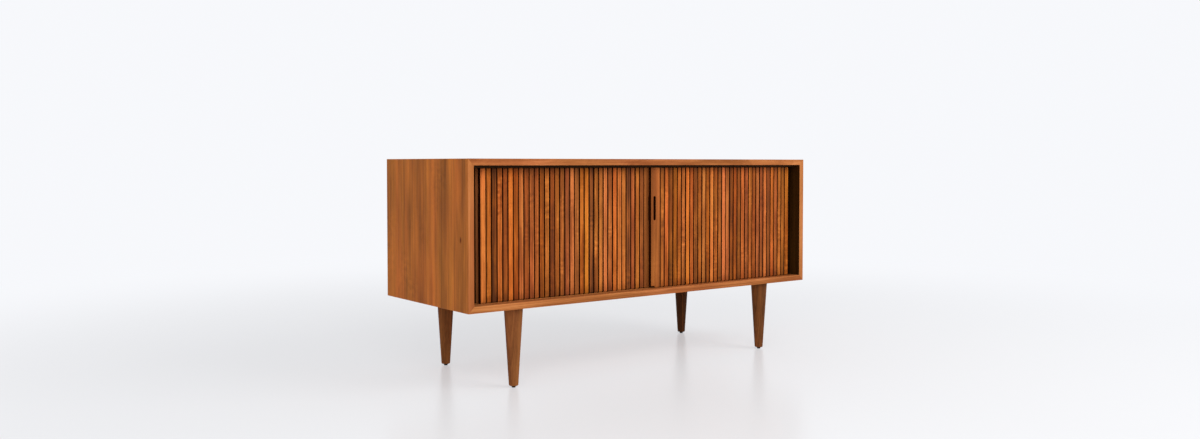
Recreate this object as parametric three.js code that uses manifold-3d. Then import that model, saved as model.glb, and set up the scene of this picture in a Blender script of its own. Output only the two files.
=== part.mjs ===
// Tambour door cabinet: a mitred walnut case on four turned legs. Its two doors are narrow slats
// glued to canvas. They run in two grooves across the front, one door in front of the other, and
// the grooves turn round each corner into a pocket between the case side and a false side.
// Millimetres. X runs along the front, to the right as the doors are faced. The front is at -Y,
// Z is up, and the origin is on the floor under the middle of the case.
import * as THREE from 'three';
import { mergeVertices } from 'three/addons/utils/BufferGeometryUtils.js';
import Module from 'manifold-3d';

const wasm = await Module();
wasm.setup();

// Case: four boards mitred at the corners, with a back in a rebate
const case_width = 1372;
const case_depth = 508;
const case_height = 431;
const board = 19;
const back_thickness = 6;
const rebate_lap = 9;
const back_play = 0.5;

// Splines in the mitres
const spline_width = 14;
const spline_thickness = 3;
const spline_stop = 14;

// Legs, with a bolt into a threaded insert in the bottom board and a nailed glide
const leg_length = 229;
const leg_top_radius = 28;
const leg_foot_radius = 14;
const leg_top_chamfer = 1;
const leg_foot_rounding = 4;
const leg_side_inset = 176;
const leg_front_inset = 46;
const leg_back_inset = 55;
const bolt_radius = 4;
const bolt_in_leg = 36;
const insert_radius = 6;
const insert_flange_radius = 9;
const insert_flange = 1.2;
const insert_roof = 2;
const glide_radius = 6;
const glide_height = 5;
const glide_rounding = 1.5;
const glide_nail_radius = 2;
const glide_nail_length = 15;
const blind_hole_spare = 2;

// Doors
const slat_width = 15;
const slat_gap = 3.22;
const slat_thickness = 12;
const tail_slat_width = 17.4;
const lead_strip_width = 14.2;
const lead_stile_width = 21.8;
const lead_strip_lift = 4;
const canvas_thickness = 0.8;
const canvas_margin = 8;
const canvas_tail_margin = 2;
const tongue_thickness = 6.4;
const tongue_side_margin = 1.5;
const door_recess = 28;
const door_clearance = 2.2;
const right_tail_clearance = 0;
const left_tail_clearance = 1.5;
const shoulder_gap_bottom = 2;
const shoulder_gap_top = 1;
const pull_width = 10;
const pull_height = 78;
const pull_rise = 61.8;

// Grooves in the bottom board and in the dark track under the top board
const groove_play = 1.2;
const groove_radius = 20;
const groove_stop = 12;
const bottom_groove_depth = 5;
const top_groove_depth = 10;
const tongue_in_top = 5;
const track_lip = 6;
const track_drop = 7;
const track_inset = 6;
const corner_run = 5;

// Inside: false sides that close the pockets, a divider and a shelf in each bay
const pocket_clearance = 3;
const pocket_slack = 5.6;
const pocket_board = 12;
const divider_board = 19;
const bay_setback = 0.6;
const shelf_board = 16;
const shelf_setback = 20;
const shelf_side_play = 1;
const shelf_back_play = 2;
const shelf_height = 190;
const pin_radius = 3;
const pin_in_panel = 8;
const pin_out = 9;
const pin_row_inset = 45;
const pin_hole_pitch = 32;
const pin_holes_each_way = 1;

// Back screws
const screw_radius = 1.8;
const screw_head_radius = 3.6;
const screw_head_depth = 2.5;
const screw_point = 3;
const screw_tip_radius = 0.5;
const screw_length = 18;
const screw_place_share = 0.42;

// Clearance round a turned or set-in piece, and how far a cut runs past a face
const fit = 0.3;
const overrun = 1;

// Facets of round pieces
const leg_facets = 32;
const pin_facets = 12;
const turn_facets = 8;

// Colours
const walnut = '#9a5c2c';
const slat_walnut = '#a4622c';
const leg_walnut = '#82502c';
const inner_walnut = '#7c4b27';
const track_black = '#1c130d';
const plywood = '#a98458';
const steel = '#8f8f8c';
const brass = '#a8893f';
const black_nylon = '#151311';

// Planes that the pieces share
const outer_x = case_width / 2;
const inner_x = outer_x - board;
const front_y = -case_depth / 2;
const back_y = case_depth / 2;
const back_face_y = back_y - back_thickness;
const under_z = leg_length + glide_height;
const top_z = under_z + case_height;
const floor_z = under_z + board;
const ceiling_z = top_z - board;
const rebate_x = inner_x + rebate_lap;
const rebate_low_z = floor_z - rebate_lap;
const rebate_high_z = ceiling_z + rebate_lap;

// Lines of the two grooves: the right door's groove is in front, and outside in the pockets
const slat_pitch = slat_width + slat_gap;
const door_step = slat_thickness + canvas_thickness + door_clearance;
const groove_width = tongue_thickness + 2 * groove_play;
const right_line_y = front_y + door_recess + slat_thickness / 2;
const left_line_y = right_line_y + door_step;
const right_line_x = inner_x - pocket_clearance - slat_thickness / 2;
const left_line_x = right_line_x - door_step;
const groove_end_y = back_face_y - groove_stop;

// Track under the top board
const track_front_y = right_line_y - groove_width / 2 - track_lip;
const track_back_y = left_line_y + groove_width / 2 + track_lip;
const track_inner_x = left_line_x - groove_width / 2 - track_lip;
const track_low_z = ceiling_z - track_drop;
const track_high_z = ceiling_z + track_inset;
const corner_x = left_line_x - groove_radius - corner_run;
const corner_y = left_line_y + groove_radius + corner_run;

// Bays
const bay_front_y = track_back_y + bay_setback;
const pocket_x = track_inner_x - pocket_slack;
const bay_x = pocket_x - pocket_board;

// Doors: their heights, and as many slats as reach from the tail to the middle
const slat_low_z = floor_z + shoulder_gap_bottom;
const slat_high_z = track_low_z - shoulder_gap_top;
const tongue_low_z = floor_z - bottom_groove_depth + fit;
const tongue_high_z = track_low_z + tongue_in_top;
const lead_width = lead_strip_width + lead_stile_width;
const right_tail_x = right_line_x - groove_radius - right_tail_clearance;
const left_tail_x = left_line_x - groove_radius - left_tail_clearance;
const plain_slats = Math.ceil((right_tail_x - lead_width - slat_gap - tail_slat_width) / slat_pitch);
const door_length = lead_width + slat_gap + plain_slats * slat_pitch + tail_slat_width;

// Shelves rest on their pins
const pin_z = floor_z + shelf_height;
const shelf_low_z = pin_z + pin_radius + fit;

function solidOf(geometry) {
  geometry.deleteAttribute('normal');
  geometry.deleteAttribute('uv');
  const merged = mergeVertices(geometry);
  const corners = merged.index.array;
  const kept = [];
  for (let i = 0; i < corners.length; i += 3) {
    const [a, b, c] = corners.slice(i, i + 3);
    if (a !== b && b !== c && c !== a) {
      kept.push(a, b, c);
    }
  }
  const mesh = new wasm.Mesh({
    numProp: 3,
    vertProperties: merged.attributes.position.array,
    triVerts: new Uint32Array(kept),
  });
  return new wasm.Manifold(mesh);
}

// A box between pairs of faces, whichever of a pair is the lower one
function blockGeometry(x, y, z) {
  const geometry = new THREE.BoxGeometry(1, 1, 1);
  const at = geometry.attributes.position;
  for (let i = 0; i < at.count; i += 1) {
    at.setXYZ(
      i,
      at.getX(i) < 0 ? Math.min(...x) : Math.max(...x),
      at.getY(i) < 0 ? Math.min(...y) : Math.max(...y),
      at.getZ(i) < 0 ? Math.min(...z) : Math.max(...z),
    );
  }
  return geometry;
}

function block(x, y, z) {
  return solidOf(blockGeometry(x, y, z));
}

// An outline seen from above, between two heights
function plate(outline, low_z, high_z) {
  const geometry = new THREE.ExtrudeGeometry(outline, {
    depth: 1,
    bevelEnabled: false,
    curveSegments: turn_facets,
  });
  const at = geometry.attributes.position;
  for (let i = 0; i < at.count; i += 1) {
    at.setZ(i, at.getZ(i) > 0 ? high_z : low_z);
  }
  return solidOf(geometry);
}

// An outline seen from the front, in X and Z, between two depths
function upright(outline, near_y, far_y) {
  const geometry = new THREE.ExtrudeGeometry(outline, {
    depth: 1,
    bevelEnabled: false,
    curveSegments: turn_facets,
  });
  const at = geometry.attributes.position;
  for (let i = 0; i < at.count; i += 1) {
    at.setXYZ(i, at.getX(i), at.getZ(i) > 0 ? near_y : far_y, at.getY(i));
  }
  return solidOf(geometry);
}

// A turned piece round Z: the profile is pairs of radius and height, upwards on its outside
function turned(profile, facets) {
  const points = profile.map(([radius, height]) => new THREE.Vector2(radius, height));
  const geometry = new THREE.LatheGeometry(points, facets);
  geometry.rotateX(Math.PI / 2);
  return solidOf(geometry);
}

function cylinder(radius, low_z, high_z, facets) {
  return turned([[0, low_z], [radius, low_z], [radius, high_z], [0, high_z]], facets);
}

function cut(solid, tools) {
  return tools.reduce((left, tool) => left.subtract(tool), solid);
}

function join(solids) {
  return solids.reduce((whole, solid) => whole.add(solid));
}

function piece(name, solid, colour, roughness = 0.5, metalness = 0) {
  const shape = solid.getMesh();
  const indexed = new THREE.BufferGeometry();
  indexed.setAttribute('position', new THREE.BufferAttribute(shape.vertProperties, shape.numProp));
  indexed.setIndex(new THREE.BufferAttribute(shape.triVerts, 1));
  const geometry = indexed.toNonIndexed();
  geometry.computeVertexNormals();
  const mesh = new THREE.Mesh(
    geometry,
    new THREE.MeshStandardMaterial({ color: colour, roughness, metalness }),
  );
  mesh.name = name;
  return mesh;
}

// Groove and track plans, seen from above
function groovePlan(line_y, line_x) {
  const half = groove_width / 2;
  const turn_x = line_x - groove_radius;
  const turn_y = line_y + groove_radius;
  const outside = groove_radius + half;
  const inside = groove_radius - half;
  const plan = new THREE.Shape();
  plan.moveTo(-line_x - half, groove_end_y);
  plan.absarc(-turn_x, turn_y, outside, Math.PI, 3 * Math.PI / 2, false);
  plan.absarc(turn_x, turn_y, outside, -Math.PI / 2, 0, false);
  plan.lineTo(line_x + half, groove_end_y);
  plan.lineTo(line_x - half, groove_end_y);
  plan.absarc(turn_x, turn_y, inside, 0, -Math.PI / 2, true);
  plan.absarc(-turn_x, turn_y, inside, 3 * Math.PI / 2, Math.PI, true);
  plan.lineTo(-line_x + half, groove_end_y);
  plan.closePath();
  return plan;
}

function grooves(low_z, high_z) {
  return [
    plate(groovePlan(right_line_y, right_line_x), low_z, high_z),
    plate(groovePlan(left_line_y, left_line_x), low_z, high_z),
  ];
}

function trackFront(low_z, high_z) {
  return block([-corner_x, corner_x], [track_front_y, track_back_y], [low_z, high_z]);
}

function trackCorner(side, low_z, high_z) {
  const z = [low_z, high_z];
  const turning = block([side * corner_x, side * inner_x], [track_front_y, track_back_y], z);
  const returning = block([side * track_inner_x, side * inner_x], [track_front_y, corner_y], z);
  return turning.add(returning);
}

function trackSide(side, low_z, high_z) {
  return block([side * track_inner_x, side * inner_x], [corner_y, back_face_y], [low_z, high_z]);
}

// Mitred boards, seen from the front
function outlineOf(points) {
  return new THREE.Shape(points.map(([x, z]) => new THREE.Vector2(x, z)));
}

function levelBoard(outer_z, inner_z) {
  const outline = outlineOf([
    [-outer_x, outer_z],
    [outer_x, outer_z],
    [inner_x, inner_z],
    [-inner_x, inner_z],
  ]);
  return upright(outline, front_y, back_y);
}

function sideBoard(side) {
  const outline = outlineOf([
    [side * outer_x, under_z],
    [side * outer_x, top_z],
    [side * inner_x, ceiling_z],
    [side * inner_x, floor_z],
  ]);
  return upright(outline, front_y, back_y);
}

function backRebate() {
  return block(
    [-rebate_x, rebate_x],
    [back_face_y, back_y + overrun],
    [rebate_low_z, rebate_high_z],
  );
}

// Splines lie square across the mitres, stopped short of the front and of the back
const spline_length = back_face_y - front_y - 2 * spline_stop;
const spline_y = (front_y + back_face_y) / 2;
const spline_places = [
  ['top_left', -1, 1],
  ['top_right', 1, 1],
  ['bottom_left', -1, -1],
  ['bottom_right', 1, -1],
].map(([name, side, level]) => ({
  name,
  turn: side * level * Math.PI / 4,
  x: side * (outer_x - board / 2),
  z: level > 0 ? top_z - board / 2 : under_z + board / 2,
}));

function splineGeometry(room) {
  const half_width = spline_width / 2 + room;
  const half_length = spline_length / 2 + room;
  const half_thickness = spline_thickness / 2 + room;
  return blockGeometry(
    [-half_width, half_width],
    [-half_length, half_length],
    [-half_thickness, half_thickness],
  );
}

function splineSlots() {
  return spline_places.map(({ turn, x, z }) => {
    const geometry = splineGeometry(fit);
    geometry.rotateY(turn);
    geometry.translate(x, spline_y, z);
    return solidOf(geometry);
  });
}

// Back screws: in the middle of the lap of the back on each board
const screw_x = inner_x + rebate_lap / 2;
const screw_low_z = floor_z - rebate_lap / 2;
const screw_high_z = ceiling_z + rebate_lap / 2;
const screw_mid_z = (floor_z + ceiling_z) / 2;
const screw_spread = case_width * screw_place_share;
const screw_places = [
  ['top_left', -screw_spread, screw_high_z],
  ['top_middle', 0, screw_high_z],
  ['top_right', screw_spread, screw_high_z],
  ['bottom_left', -screw_spread, screw_low_z],
  ['bottom_middle', 0, screw_low_z],
  ['bottom_right', screw_spread, screw_low_z],
  ['side_left', -screw_x, screw_mid_z],
  ['side_right', screw_x, screw_mid_z],
].map(([name, x, z]) => ({ name, x, z }));

// The screw's head is at height 0 and its point hangs below
function screwSolid() {
  return turned([
    [0, -screw_length],
    [screw_tip_radius, -screw_length],
    [screw_radius, screw_point - screw_length],
    [screw_radius, -screw_head_depth],
    [screw_head_radius, 0],
    [0, 0],
  ], pin_facets);
}

function screwRoom({ x, z }) {
  const room = turned([
    [0, -screw_length - fit],
    [screw_radius + fit, -screw_length - fit],
    [screw_radius + fit, -screw_head_depth],
    [screw_head_radius + fit, 0],
    [screw_head_radius + fit, overrun],
    [0, overrun],
  ], pin_facets);
  return room.rotate([-90, 0, 0]).translate([x, back_y, z]);
}

function screwHoles() {
  return screw_places.map(screwRoom);
}

// Legs: where they stand, and the holes for their inserts in the bottom board
const leg_x = outer_x - leg_side_inset;
const leg_places = [
  ['front_left', -leg_x, front_y + leg_front_inset],
  ['front_right', leg_x, front_y + leg_front_inset],
  ['back_left', -leg_x, back_y - leg_back_inset],
  ['back_right', leg_x, back_y - leg_back_inset],
].map(([name, x, y]) => ({ name, x, y }));
const insert_length = board - bottom_groove_depth - insert_roof;
const bolt_hole_radius = bolt_radius + fit;

function insertHole({ x, y }) {
  const barrel = cylinder(insert_radius + fit, -overrun, insert_length + fit, pin_facets);
  const flange = cylinder(insert_flange_radius + fit, -overrun, insert_flange, pin_facets);
  return barrel.add(flange).translate([x, y, under_z]);
}

// The case
const cabinet = new THREE.Group();
const track_bed = join([
  trackFront(ceiling_z - overrun, track_high_z),
  trackCorner(-1, ceiling_z - overrun, track_high_z),
  trackCorner(1, ceiling_z - overrun, track_high_z),
  trackSide(-1, ceiling_z - overrun, track_high_z),
  trackSide(1, ceiling_z - overrun, track_high_z),
]);
const case_cuts = [backRebate(), ...splineSlots(), ...screwHoles()];
const case_top = cut(levelBoard(top_z, ceiling_z), [...case_cuts, track_bed]);
const case_bottom = cut(levelBoard(under_z, floor_z), [
  ...case_cuts,
  ...grooves(floor_z - bottom_groove_depth, floor_z + overrun),
  ...leg_places.map(insertHole),
]);
cabinet.add(piece('case_top', case_top, walnut));
cabinet.add(piece('case_bottom', case_bottom, walnut));
cabinet.add(piece('case_side_left', cut(sideBoard(-1), case_cuts), walnut));
cabinet.add(piece('case_side_right', cut(sideBoard(1), case_cuts), walnut));
for (const { name, turn, x, z } of spline_places) {
  const spline = piece(`mitre_spline_${name}`, solidOf(splineGeometry(0)), plywood, 0.8);
  spline.rotation.y = turn;
  spline.position.set(x, spline_y, z);
  cabinet.add(spline);
}

// The back and its screws
const back_panel = block(
  [-rebate_x + back_play, rebate_x - back_play],
  [back_face_y, back_y],
  [rebate_low_z + back_play, rebate_high_z - back_play],
);
cabinet.add(piece('back_panel', cut(back_panel, screwHoles()), inner_walnut, 0.6));
for (const { name, x, z } of screw_places) {
  const screw = piece(`back_screw_${name}`, screwSolid(), steel, 0.4, 1);
  screw.rotation.x = -Math.PI / 2;
  screw.position.set(x, back_y, z);
  cabinet.add(screw);
}

// Shelf pins: two rows in each face that looks into a bay
const pin_rows = [bay_front_y + shelf_setback + pin_row_inset, back_face_y - pin_row_inset];
const pin_faces = [
  { bay: 'left', wall: 'outer', x: -bay_x, into_bay: 1 },
  { bay: 'left', wall: 'middle', x: -divider_board / 2, into_bay: -1 },
  { bay: 'right', wall: 'middle', x: divider_board / 2, into_bay: 1 },
  { bay: 'right', wall: 'outer', x: bay_x, into_bay: -1 },
];

function pinHole({ x, into_bay }, y, z) {
  const hole = cylinder(pin_radius + fit, -pin_in_panel - fit, overrun, pin_facets);
  return hole.rotate([0, into_bay * 90, 0]).translate([x, y, z]);
}

function pinHoles(faces) {
  const holes = [];
  for (const face of faces) {
    for (const y of pin_rows) {
      for (let step = -pin_holes_each_way; step <= pin_holes_each_way; step += 1) {
        holes.push(pinHole(face, y, pin_z + step * pin_hole_pitch));
      }
    }
  }
  return holes;
}

// False sides and the divider
function standing(x) {
  return block(x, [bay_front_y, back_face_y], [floor_z, ceiling_z]);
}

const pocket_left = cut(standing([-pocket_x, -bay_x]), pinHoles([pin_faces[0]]));
const divider = cut(
  standing([-divider_board / 2, divider_board / 2]),
  pinHoles([pin_faces[1], pin_faces[2]]),
);
const pocket_right = cut(standing([bay_x, pocket_x]), pinHoles([pin_faces[3]]));
cabinet.add(piece('pocket_panel_left', pocket_left, inner_walnut, 0.6));
cabinet.add(piece('centre_divider', divider, inner_walnut, 0.6));
cabinet.add(piece('pocket_panel_right', pocket_right, inner_walnut, 0.6));

// Shelves on their pins
function shelf(side) {
  return block(
    [side * (divider_board / 2 + shelf_side_play), side * (bay_x - shelf_side_play)],
    [bay_front_y + shelf_setback, back_face_y - shelf_back_play],
    [shelf_low_z, shelf_low_z + shelf_board],
  );
}

cabinet.add(piece('shelf_left', shelf(-1), inner_walnut, 0.6));
cabinet.add(piece('shelf_right', shelf(1), inner_walnut, 0.6));
for (const { bay, wall, x, into_bay } of pin_faces) {
  pin_rows.forEach((y, row) => {
    const name = `shelf_pin_${bay}_${wall}_${row === 0 ? 'front' : 'back'}`;
    const pin = piece(name, cylinder(pin_radius, -pin_in_panel, pin_out, pin_facets), brass, 0.35, 1);
    pin.rotation.y = into_bay * Math.PI / 2;
    pin.position.set(x, y, pin_z);
    cabinet.add(pin);
  });
}

// The dark track under the top board
const track_cuts = grooves(track_low_z - overrun, track_low_z + top_groove_depth);
const track_pieces = [
  ['top_track_front', trackFront(track_low_z, track_high_z)],
  ['top_track_corner_left', trackCorner(-1, track_low_z, track_high_z)],
  ['top_track_corner_right', trackCorner(1, track_low_z, track_high_z)],
  ['top_track_side_left', trackSide(-1, track_low_z, track_high_z)],
  ['top_track_side_right', trackSide(1, track_low_z, track_high_z)],
];
for (const [name, solid] of track_pieces) {
  cabinet.add(piece(name, cut(solid, track_cuts), track_black, 0.7));
}

// Doors. Distances along a door are from its leading edge towards its tail, which side turns to
// the left or the right. Depths are from the face of its slats.
const tongue_y = [
  (slat_thickness - tongue_thickness) / 2,
  (slat_thickness + tongue_thickness) / 2,
];
const slat_y = [0, slat_thickness];
const pull_z = (slat_low_z + slat_high_z) / 2 + pull_rise;

function tongue(side, near, far) {
  return block(
    [side * (near + tongue_side_margin), side * (far - tongue_side_margin)],
    tongue_y,
    [tongue_low_z, tongue_high_z],
  );
}

function pullSlot(side) {
  const radius = pull_width / 2;
  const reach = pull_height / 2 - radius;
  const x = side * lead_strip_width;
  const outline = new THREE.Shape();
  outline.absarc(x, pull_z + reach, radius, 0, Math.PI, false);
  outline.absarc(x, pull_z - reach, radius, Math.PI, 2 * Math.PI, false);
  outline.closePath();
  return upright(outline, -overrun, slat_thickness + overrun);
}

function leadStrip(side) {
  const z = [slat_low_z + lead_strip_lift, slat_high_z];
  return block([0, side * lead_strip_width], slat_y, z).subtract(pullSlot(side));
}

function leadStile(side) {
  const x = [side * lead_strip_width, side * lead_width];
  const stile = block(x, slat_y, [slat_low_z, slat_high_z]).subtract(pullSlot(side));
  return stile.add(tongue(side, lead_strip_width + pull_width / 2, lead_width));
}

function tambour(side) {
  const solids = [];
  for (let slat = 0; slat <= plain_slats; slat += 1) {
    const near = lead_width + slat_gap + slat * slat_pitch;
    const far = near + (slat < plain_slats ? slat_width : tail_slat_width);
    solids.push(block([side * near, side * far], slat_y, [slat_low_z, slat_high_z]));
    solids.push(tongue(side, near, far));
  }
  const canvas_x = [side * (lead_width - canvas_margin), side * (door_length - canvas_tail_margin)];
  const canvas_y = [slat_thickness, slat_thickness + canvas_thickness];
  const canvas_z = [slat_low_z + canvas_margin, slat_high_z - canvas_margin];
  solids.push(block(canvas_x, canvas_y, canvas_z));
  return join(solids);
}

const doors = [
  { name: 'left', side: -1, lead_x: door_length - left_tail_x, line_y: left_line_y },
  { name: 'right', side: 1, lead_x: right_tail_x - door_length, line_y: right_line_y },
];
for (const { name, side, lead_x, line_y } of doors) {
  const door = new THREE.Group();
  door.position.set(lead_x, line_y - slat_thickness / 2, 0);
  door.add(piece(`${name}_tambour`, tambour(side), slat_walnut));
  door.add(piece(`${name}_lead_stile`, leadStile(side), slat_walnut));
  door.add(piece(`${name}_lead_strip`, leadStrip(side), slat_walnut));
  cabinet.add(door);
}

// Legs, each hung from the underside of the case: height 0 is the leg's top
const foot_z = -leg_length;
const rounding = Array.from({ length: turn_facets / 2 + 1 }, (_, step) => {
  const angle = step / (turn_facets / 2) * Math.PI / 2;
  return [
    leg_foot_radius - leg_foot_rounding * (1 - Math.sin(angle)),
    foot_z + leg_foot_rounding * (1 - Math.cos(angle)),
  ];
});
const leg_profile = [
  [0, foot_z + glide_nail_length + blind_hole_spare],
  [glide_nail_radius + fit, foot_z + glide_nail_length + blind_hole_spare],
  [glide_nail_radius + fit, foot_z],
  ...rounding,
  [leg_top_radius, -leg_top_chamfer],
  [leg_top_radius - leg_top_chamfer, 0],
  [bolt_hole_radius, 0],
  [bolt_hole_radius, -bolt_in_leg - blind_hole_spare],
  [0, -bolt_in_leg - blind_hole_spare],
];
const insert_profile = [
  [bolt_hole_radius, 0],
  [insert_flange_radius, 0],
  [insert_flange_radius, insert_flange],
  [insert_radius, insert_flange],
  [insert_radius, insert_length],
  [bolt_hole_radius, insert_length],
  [bolt_hole_radius, 0],
];
const glide_profile = [
  [0, foot_z - glide_height],
  [glide_radius - glide_rounding, foot_z - glide_height],
  [glide_radius, foot_z - glide_height + glide_rounding],
  [glide_radius, foot_z],
  [glide_nail_radius, foot_z],
  [glide_nail_radius, foot_z + glide_nail_length],
  [0, foot_z + glide_nail_length],
];
for (const { name, x, y } of leg_places) {
  const stand = new THREE.Group();
  stand.position.set(x, y, under_z);
  const bolt = cylinder(bolt_radius, -bolt_in_leg, insert_length - fit, pin_facets);
  stand.add(piece(`leg_${name}`, turned(leg_profile, leg_facets), leg_walnut));
  stand.add(piece(`leg_insert_${name}`, turned(insert_profile, pin_facets), brass, 0.35, 1));
  stand.add(piece(`leg_bolt_${name}`, bolt, steel, 0.4, 1));
  stand.add(piece(`glide_${name}`, turned(glide_profile, pin_facets * 2), black_nylon, 0.6));
  cabinet.add(stand);
}

export default cabinet;
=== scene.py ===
import math
import random

import bmesh
import bpy
from mathutils import Color, Matrix, Vector


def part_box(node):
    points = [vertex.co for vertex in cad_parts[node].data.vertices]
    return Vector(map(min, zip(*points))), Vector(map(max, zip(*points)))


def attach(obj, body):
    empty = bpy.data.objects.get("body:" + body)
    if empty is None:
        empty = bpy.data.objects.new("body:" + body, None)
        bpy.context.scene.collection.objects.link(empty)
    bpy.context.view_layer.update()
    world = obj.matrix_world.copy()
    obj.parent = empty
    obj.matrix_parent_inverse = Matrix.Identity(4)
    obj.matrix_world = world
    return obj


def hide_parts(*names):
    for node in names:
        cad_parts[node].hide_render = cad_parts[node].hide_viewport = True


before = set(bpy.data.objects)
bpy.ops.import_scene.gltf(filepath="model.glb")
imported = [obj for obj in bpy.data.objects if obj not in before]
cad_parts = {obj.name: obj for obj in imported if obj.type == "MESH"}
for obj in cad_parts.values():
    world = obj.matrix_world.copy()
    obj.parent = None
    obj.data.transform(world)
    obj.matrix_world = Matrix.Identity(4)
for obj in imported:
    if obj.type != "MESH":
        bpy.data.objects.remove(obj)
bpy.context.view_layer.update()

scene = bpy.context.scene
scene.view_settings.view_transform = "Standard"

# The camera stands where the photograph was taken from: to the left of the front, level with the
# top board. Its place, turn and lens follow from the eight corners of the case in the photograph.
camera_place = Vector((-2.0781, -2.6780, 0.6513))
camera_yaw = math.radians(37.343)
camera_pitch = math.radians(-1.781)
camera_lens_mm = 30.217
camera_sensor_mm = 36
camera_shift_up = -0.0206

eye = bpy.data.cameras.new("camera")
eye.lens = camera_lens_mm
eye.sensor_width = camera_sensor_mm
eye.shift_y = camera_shift_up
camera = bpy.data.objects.new("camera", eye)
camera.location = camera_place
camera.rotation_euler = (math.pi / 2 + camera_pitch, 0, -camera_yaw)
scene.collection.objects.link(camera)
scene.camera = camera

# The studio is one pale floor under an even white sky, with a large soft lamp from the front right
# and a weaker one from the left. Far from the cabinet the floor fades into the white background.
floor_radius = 9.0
floor_facets = 64
floor_colour = (0.82, 0.82, 0.83, 1)
floor_roughness = 0.25
fade_starts = 0.7
fade_ends = 3.8
fade_everywhere = 0.43
background_colour = (0.93, 0.94, 0.97, 1)
sky_light = 0.54
key_place = Vector((2.2, -3.6, 2.6))
key_size = 3.0
key_watts = 115
fill_place = Vector((-2.4, -3.2, 1.8))
fill_size = 2.6
fill_watts = 72
lamp_aim = Vector((0, 0, 0.42))


def node(tree, kind, sockets=(), **settings):
    """Adds a shader node with its settings, and fills its sockets with values or with outputs."""
    made = tree.nodes.new("ShaderNode" + kind)
    for setting, value in settings.items():
        setattr(made, setting, value)
    for socket, value in dict(sockets).items():
        if isinstance(value, bpy.types.NodeSocket):
            tree.links.new(value, made.inputs[socket])
        else:
            made.inputs[socket].default_value = value
    return made


def maths(tree, operation, *values, clamp=False):
    """The result of one sum on values or outputs."""
    made = node(tree, "Math", enumerate(values), operation=operation, use_clamp=clamp)
    return made.outputs[0]


def empty_finish(name):
    """A new material whose tree of nodes is still empty, and that tree."""
    finish = bpy.data.materials.new(name)
    finish.use_nodes = True
    finish.node_tree.nodes.clear()
    return finish, finish.node_tree


def seen_directly(tree):
    """1 where the camera, a reflection or a view through glass meets the surface, and else 0."""
    path = node(tree, "LightPath")
    seen = maths(tree, "MAXIMUM", path.outputs["Is Camera Ray"], path.outputs["Is Glossy Ray"])
    return maths(tree, "MAXIMUM", seen, path.outputs["Is Transmission Ray"])


def mix_colours(tree, share, one, other):
    """One colour passing into the other with a share from 0 to 1."""
    made = node(tree, "Mix", {0: share, 6: one, 7: other}, data_type="RGBA")
    return made.outputs[2]


world = bpy.data.worlds.new("white_sky")
world.use_nodes = True
scene.world = world
sky = world.node_tree
sky.nodes.clear()
sky_grey = (sky_light, sky_light, sky_light, 1)
sky_colour = mix_colours(sky, seen_directly(sky), sky_grey, background_colour)
background = node(sky, "Background", {"Color": sky_colour})
node(sky, "OutputWorld", {"Surface": background.outputs[0]})

floor_paint, paint = empty_finish("pale_floor")
place = node(paint, "TexCoord").outputs["Object"]
distance = node(paint, "VectorMath", {0: place}, operation="LENGTH").outputs["Value"]
sockets = {
    "Value": distance,
    "From Min": fade_starts,
    "From Max": fade_ends,
    "To Min": fade_everywhere,
}
faded = node(paint, "MapRange", sockets, interpolation_type="SMOOTHERSTEP").outputs[0]
fade = maths(paint, "MULTIPLY", faded, seen_directly(paint))
matt = node(paint, "BsdfPrincipled", {"Base Color": floor_colour, "Roughness": floor_roughness})
white = node(paint, "Emission", {"Color": background_colour})
floor_mix = node(paint, "MixShader", {0: fade, 1: matt.outputs[0], 2: white.outputs[0]})
node(paint, "OutputMaterial", {"Surface": floor_mix.outputs[0]})

bm = bmesh.new()
bmesh.ops.create_circle(bm, cap_ends=True, segments=floor_facets, radius=floor_radius)
floor_mesh = bpy.data.meshes.new("floor")
bm.to_mesh(floor_mesh)
bm.free()
floor_mesh.materials.append(floor_paint)
floor = bpy.data.objects.new("floor", floor_mesh)
scene.collection.objects.link(floor)


def lamp(name, lamp_place, size, watts):
    """A square soft lamp that faces the cabinet and shows in no reflection."""
    light = bpy.data.lights.new(name, "AREA")
    light.size = size
    light.energy = watts
    stand = bpy.data.objects.new(name, light)
    stand.location = lamp_place
    stand.rotation_euler = (lamp_aim - lamp_place).to_track_quat("-Z", "Y").to_euler()
    stand.visible_glossy = False
    scene.collection.objects.link(stand)


lamp("key_lamp", key_place, key_size, key_watts)
lamp("fill_lamp", fill_place, fill_size, fill_watts)

# The case is four boards of veneered walnut, mitred so that the figure runs up one side, over the
# top and down the other. Solid strips, mitred too, band the front edges, and the arrises are eased.
# The inner faces of the sides are near-black brown: painted shade for the recess behind the doors.
board_arris = 0.0007
corner_easing = 0.0006
arris_segments = 3
same_point = 1e-5
cut_tolerance = same_point / 10
flat_angle = math.radians(0.5)
sharp_angle = math.radians(30)
facing = 0.9

# Colours of each finish, darkest, middle and lightest, as a screen shows them from 0 to 255
veneer_colours = [(128, 73, 33), (170, 98, 43), (202, 117, 50)]
band_colours = [(136, 76, 38), (174, 105, 58), (204, 134, 82)]
inside_colours = [(98, 58, 26), (138, 82, 38), (168, 104, 50)]
recess_shade_colours = [(34, 17, 4), (52, 28, 7), (72, 40, 12)]


def screen_colour(red, green, blue):
    """A colour as a screen shows it, from 0 to 255, in the linear values that shaders take."""
    shown = Color((red / 255, green / 255, blue / 255))
    return (*shown.from_srgb_to_scene_linear(), 1)


def effect(name, inputs, outputs):
    """A node group with named sockets, with the outputs of its input node and its output node."""
    tree = bpy.data.node_groups.new(name, "ShaderNodeTree")
    for socket, kind in inputs:
        tree.interface.new_socket(socket, in_out="INPUT", socket_type=f"NodeSocket{kind}")
    for socket, kind in outputs:
        tree.interface.new_socket(socket, in_out="OUTPUT", socket_type=f"NodeSocket{kind}")
    return tree, tree.nodes.new("NodeGroupInput").outputs, tree.nodes.new("NodeGroupOutput").inputs


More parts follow.
